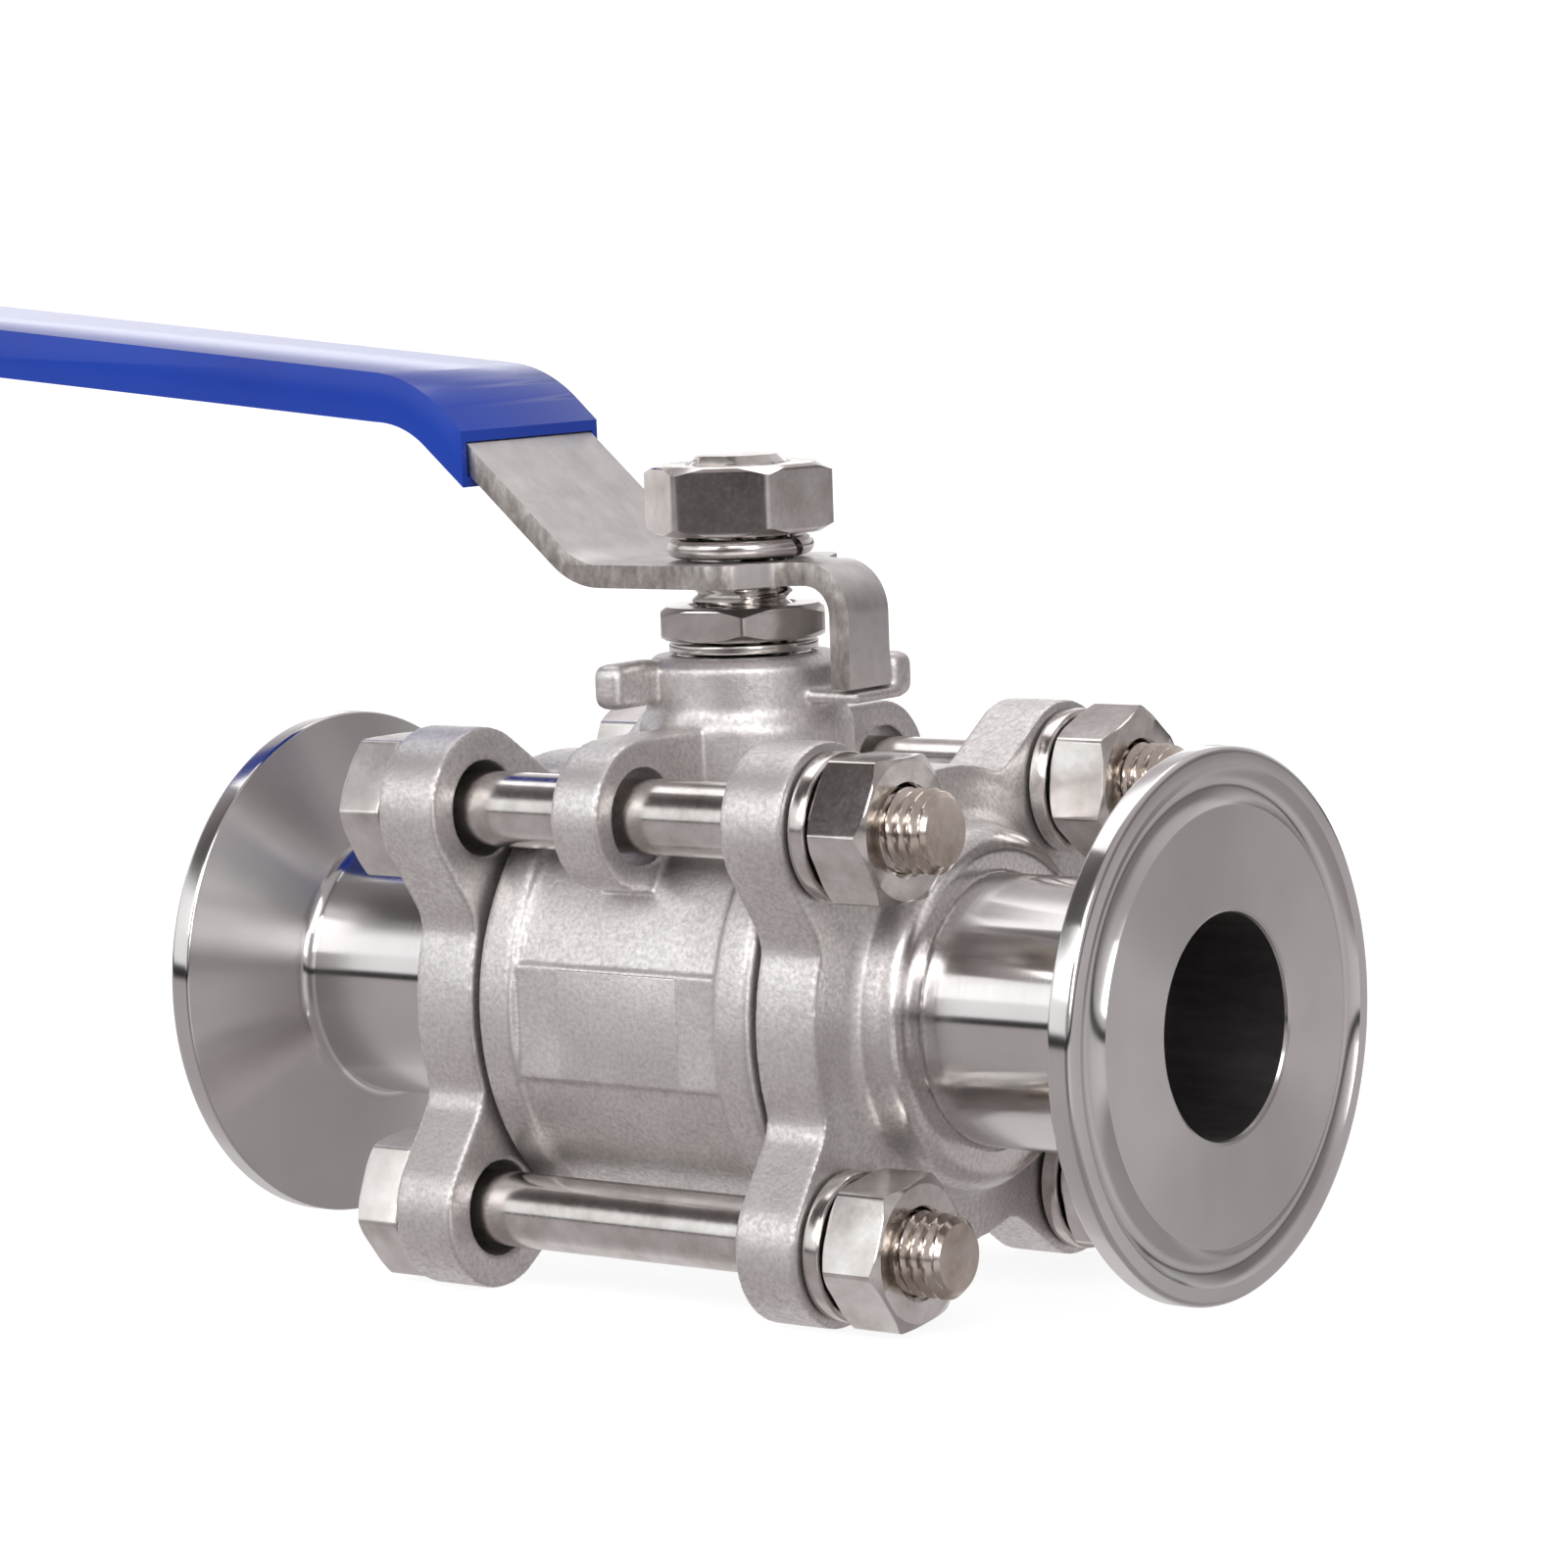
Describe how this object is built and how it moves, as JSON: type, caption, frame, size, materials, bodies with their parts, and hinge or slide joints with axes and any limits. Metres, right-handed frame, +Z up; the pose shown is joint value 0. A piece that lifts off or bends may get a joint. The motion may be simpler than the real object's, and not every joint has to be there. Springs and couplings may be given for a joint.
{
  "type": "three-piece ball valve",
  "caption": "Stainless three-piece ball valve with clamp ferrule ends, through bolts, and a bent lever with a blue sleeve that turns the ball a quarter turn.",
  "frame": {"origin": "centre of the ball, on the pipe's axis and on the stem's axis", "axes": "+X along the pipe's axis to the end away from the lever, +Z up along the stem, +Y to the side that the lever swings to when it closes"},
  "size_m": [0.1789, 0.0536, 0.095],
  "materials": {
    "cast_stainless": "matt, fine-blasted casting",
    "turned_stainless": "turned and polished",
    "bright_stainless": "bright, as drawn",
    "rolled_stainless": "rolled sheet, with rough sheared edges",
    "blue_vinyl": "smooth dipped vinyl",
    "white_ptfe": "smooth moulded ring"
  },
  "bodies": {
    "valve": {"body": "cast_stainless", "right_cap": "cast_stainless", "left_cap": "cast_stainless", "right_ferrule": "turned_stainless", "left_ferrule": "turned_stainless", "gland_ring": "turned_stainless", "right_seat": "white_ptfe", "left_seat": "white_ptfe", "right_body_seal": "white_ptfe", "left_body_seal": "white_ptfe", "thrust_washer": "white_ptfe", "packing_ring_1": "white_ptfe", "packing_ring_2": "white_ptfe", "packing_ring_3": "white_ptfe", "bolt_near_upper": "bright_stainless", "lock_washer_near_upper": "bright_stainless", "nut_near_upper": "bright_stainless", "bolt_near_lower": "bright_stainless", "lock_washer_near_lower": "bright_stainless", "nut_near_lower": "bright_stainless", "bolt_far_upper": "bright_stainless", "lock_washer_far_upper": "bright_stainless", "nut_far_upper": "bright_stainless", "bolt_far_lower": "bright_stainless", "lock_washer_far_lower": "bright_stainless", "nut_far_lower": "bright_stainless"},
    "lever": {"lever": "rolled_stainless", "lever_sleeve": "blue_vinyl", "lever_nut": "bright_stainless", "lever_lock_washer": "bright_stainless", "stem": "bright_stainless", "packing_nut": "bright_stainless", "disc_spring": "bright_stainless"},
    "ball": {"ball": "turned_stainless"}
  },
  "joints": [
    {"name": "lever_turn", "type": "hinge", "parent": "valve", "child": "lever", "pos_m": [0, 0, 0.04], "axis": [0, 0, 1], "range_deg": [-90, 0]},
    {"name": "ball_turn", "type": "hinge", "parent": "valve", "child": "ball", "pos_m": [0, 0, 0], "axis": [0, 0, 1], "range_deg": [-90, 0]}
  ],
  "couplings": [
    {"joint": "ball_turn", "follows": "lever_turn", "ratio": 1}
  ]
}
